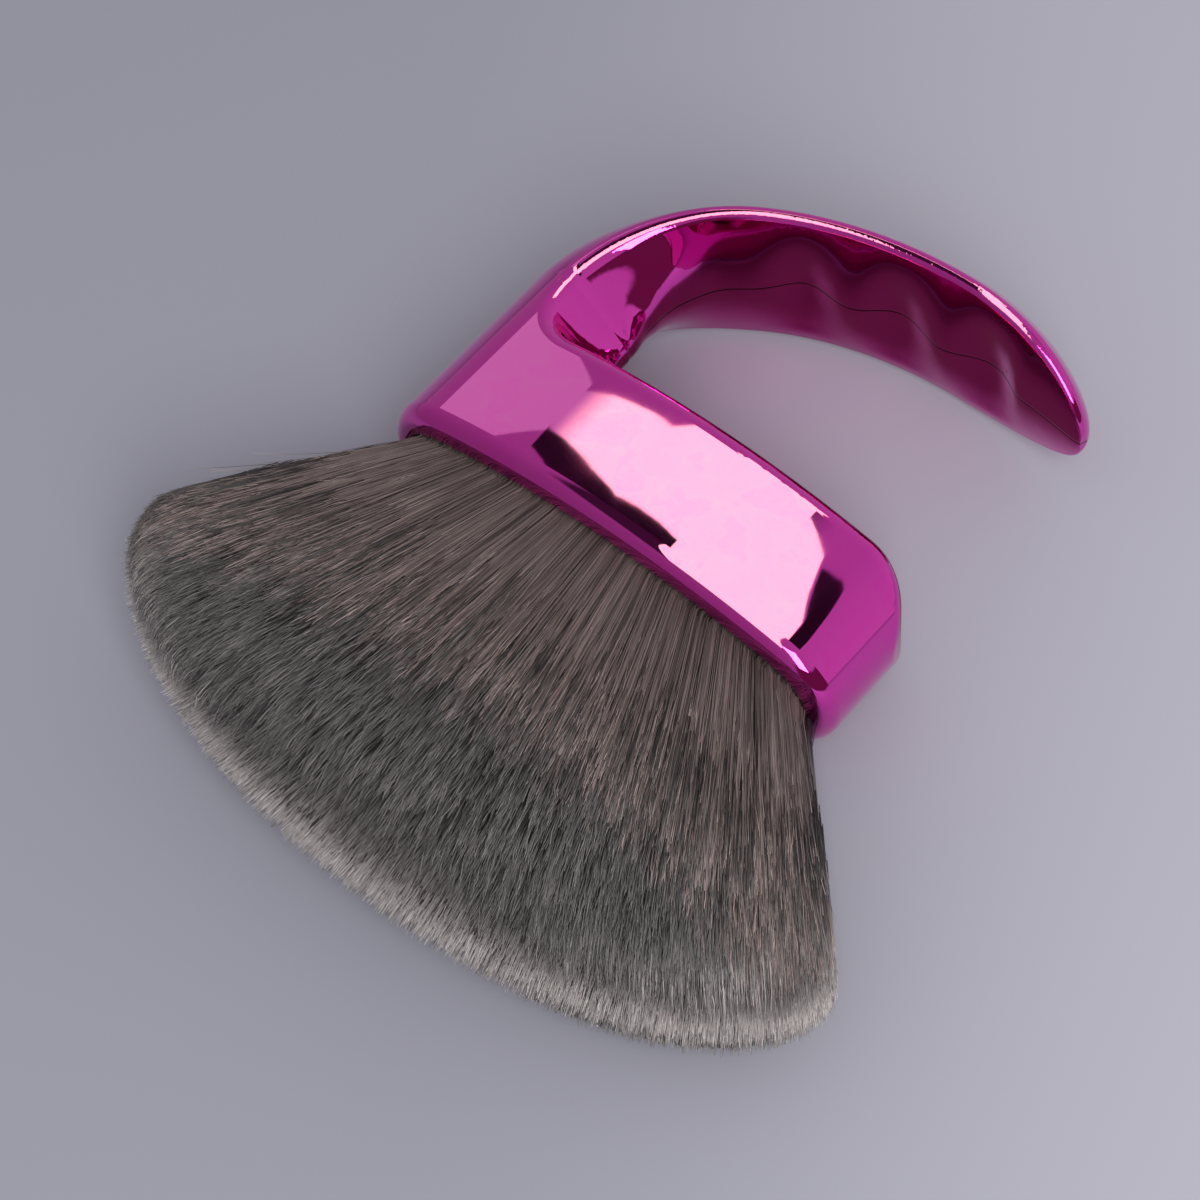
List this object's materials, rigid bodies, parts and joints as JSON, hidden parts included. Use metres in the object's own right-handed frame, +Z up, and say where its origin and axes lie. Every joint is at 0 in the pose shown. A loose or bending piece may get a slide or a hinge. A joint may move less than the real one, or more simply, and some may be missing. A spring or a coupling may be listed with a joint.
{
  "type": "kabuki makeup brush",
  "caption": "Kabuki makeup brush: a wide fan of soft fibres set in the oval head of a plated handle, whose hook curls over the head and carries finger grooves inside.",
  "frame": {"origin": "bottom centre of the brush's box, on the surface that it lies on", "axes": "the brush lies on its side: +Z up through its thickness, +Y along the brush from the fibre tips to the hook, +X along the head towards the open side of the hook"},
  "size_m": [0.1152, 0.12, 0.029],
  "materials": {
    "handle_plating": "mirror-bright magenta metallised plating on a moulded plastic body",
    "fibres": "fine taupe synthetic fibres with paler tips",
    "binding": "flat wound thread band, matt",
    "root_resin": "cast resin holding the fibre roots, matt",
    "adhesive": "cured epoxy, matt"
  },
  "bodies": {
    "root": {"hook_handle": "handle_plating", "bristle_tuft": "fibres", "binding_band": "binding", "root_plug": "root_resin", "adhesive_bed": "adhesive"}
  },
  "joints": []
}
